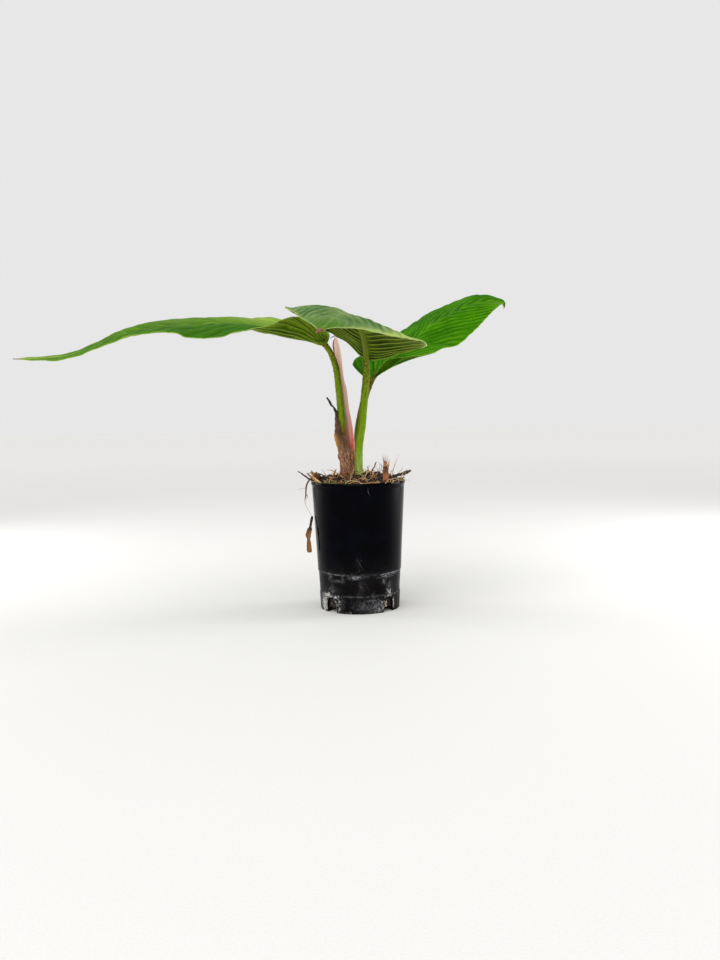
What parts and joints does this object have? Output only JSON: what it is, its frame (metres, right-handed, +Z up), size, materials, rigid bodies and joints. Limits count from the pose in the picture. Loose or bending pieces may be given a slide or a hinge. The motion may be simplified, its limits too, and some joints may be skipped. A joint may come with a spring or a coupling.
{
  "type": "potted philodendron rugapetiolatum",
  "caption": "Young potted aroid house plant: ribbed leaves on rough stalks, a pink and a dry cataphyll, bark and coir mix, round tapered black nursery pot.",
  "frame": {"origin": "middle of the pot's foot, on the surface that the pot stands on", "axes": "+Z up, -Y towards the viewer where the centre leaf points, +X to the right"},
  "size_m": [0.3763, 0.2795, 0.2578],
  "materials": {
    "pot_plastic": "glossy black polypropylene above, scuffed and dusty below, with dried mineral crust at the notches",
    "leaf_green": "ribbed green blade with a satin skin, sunken veins above and raised light veins below",
    "stalk_green": "rough green stalk, olive brown towards the top",
    "new_cataphyll": "waxy peach to rose sheath, deep red at its base",
    "dry_cataphyll": "dry papery brown sheath with streaks along it",
    "bark": "rough brown bark, husk and twigs",
    "mix": "damp dark mix of bark chips, coir and fine fibre",
    "root": "dull brown rhizome and roots"
  },
  "bodies": {
    "root": {"pot": "pot_plastic", "potting_mix": "mix", "stem": "root", "petiole_left": "stalk_green", "petiole_centre": "stalk_green", "petiole_right": "stalk_green", "leaf_left": "leaf_green", "leaf_centre": "leaf_green", "leaf_right": "leaf_green", "cataphyll_new": "new_cataphyll", "cataphyll_dry": "dry_cataphyll", "husk_tuft": "bark", "bark_flakes": "bark", "mossy_stick": "bark", "twig_left": "bark", "hanging_root": "root", "hanging_bark": "bark"}
  },
  "joints": []
}
